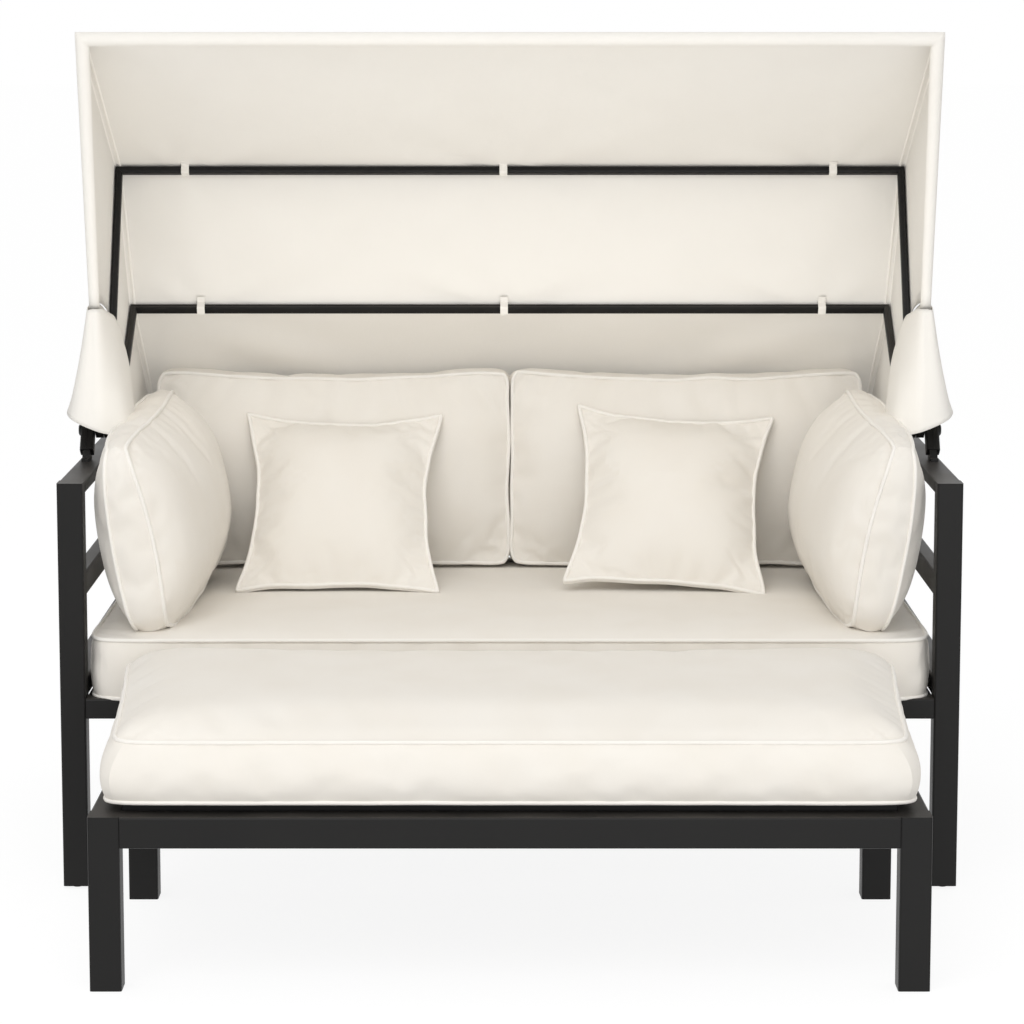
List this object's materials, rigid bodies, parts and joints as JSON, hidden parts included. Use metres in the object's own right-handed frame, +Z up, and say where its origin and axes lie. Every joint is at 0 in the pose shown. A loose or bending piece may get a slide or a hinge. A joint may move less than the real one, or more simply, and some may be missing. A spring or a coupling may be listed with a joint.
{
  "type": "canopy daybed",
  "caption": "Outdoor daybed: cushioned loveseat with metal arms, folding fabric canopy on pivoted bows, loose pillows and a matching cushioned ottoman.",
  "frame": {"origin": "on the floor under the middle of the whole set's bounding box", "axes": "+X to the right as seen from in front of the seat, +Y towards the back of the seat, +Z up; the ottoman stands at -Y"},
  "size_m": [1.4394, 1.4246, 1.3295],
  "materials": {
    "frame": "satin black powder coat",
    "foot": "matte",
    "bolt": "blackened",
    "canopy": "woven, off-white",
    "cushion": "woven, cream"
  },
  "bodies": {
    "loveseat": {"front_leg_left": "frame", "front_leg_right": "frame", "rear_leg_left": "frame", "rear_leg_right": "frame", "arm_rail_left": "frame", "arm_rail_right": "frame", "arm_middle_rail_left": "frame", "arm_middle_rail_right": "frame", "seat_side_rail_left": "frame", "seat_side_rail_right": "frame", "seat_front_rail": "frame", "seat_rear_rail": "frame", "back_top_rail": "frame", "seat_deck": "frame", "back_panel": "frame", "front_foot_glide_left": "foot", "front_foot_glide_right": "foot", "rear_foot_glide_left": "foot", "rear_foot_glide_right": "foot", "canopy_post_left": "frame", "canopy_post_right": "frame", "canopy_bracket_left": "frame", "canopy_bracket_right": "frame", "pivot_bolt_left": "bolt", "pivot_bolt_right": "bolt", "pivot_nut_left": "bolt", "pivot_nut_right": "bolt", "seat_cushion": "cushion", "back_cushion_left": "cushion", "back_cushion_right": "cushion", "side_pillow_left": "cushion", "side_pillow_right": "cushion", "throw_pillow_left": "cushion", "throw_pillow_right": "cushion", "canopy_rear_section": "canopy"},
    "rear_bow": {"rear_bow_bar": "frame", "rear_bow_leg_left": "frame", "rear_bow_leg_right": "frame"},
    "middle_bow": {"middle_bow_bar": "frame", "middle_bow_leg_left": "frame", "middle_bow_leg_right": "frame", "canopy_middle_section": "canopy"},
    "front_bow": {"front_bow_bar": "frame", "front_bow_leg_left": "frame", "front_bow_leg_right": "frame", "canopy_front_section": "canopy", "canopy_skirt_left": "canopy", "canopy_skirt_right": "canopy"},
    "ottoman": {"ottoman_front_leg_left": "frame", "ottoman_front_leg_right": "frame", "ottoman_rear_leg_left": "frame", "ottoman_rear_leg_right": "frame", "ottoman_side_rail_left": "frame", "ottoman_side_rail_right": "frame", "ottoman_front_rail": "frame", "ottoman_rear_rail": "frame", "ottoman_deck": "frame", "ottoman_cushion": "cushion"}
  },
  "joints": [
    {"name": "rear_bow_fold", "type": "hinge", "parent": "loveseat", "child": "rear_bow", "pos_m": [0, 0.1847, 0.687], "axis": [-1, 0, 0], "range_deg": [0, 15], "deforming": ["canopy_rear_section"]},
    {"name": "middle_bow_fold", "type": "hinge", "parent": "rear_bow", "child": "middle_bow", "pos_m": [0, 0.1847, 0.687], "axis": [-1, 0, 0], "range_deg": [0, 35], "deforming": ["canopy_middle_section"]},
    {"name": "front_bow_fold", "type": "hinge", "parent": "middle_bow", "child": "front_bow", "pos_m": [0, 0.1847, 0.687], "axis": [-1, 0, 0], "range_deg": [0, 41.5], "deforming": ["canopy_front_section", "canopy_skirt_left", "canopy_skirt_right"]},
    {"name": "ottoman_slide", "type": "slide", "parent": "loveseat", "child": "ottoman", "axis": [0, -1, 0], "range_m": [0, 0.5]}
  ],
  "couplings": [
    {"joint": "middle_bow_fold", "follows": "rear_bow_fold", "ratio": 2.3333},
    {"joint": "front_bow_fold", "follows": "rear_bow_fold", "ratio": 2.7667}
  ]
}
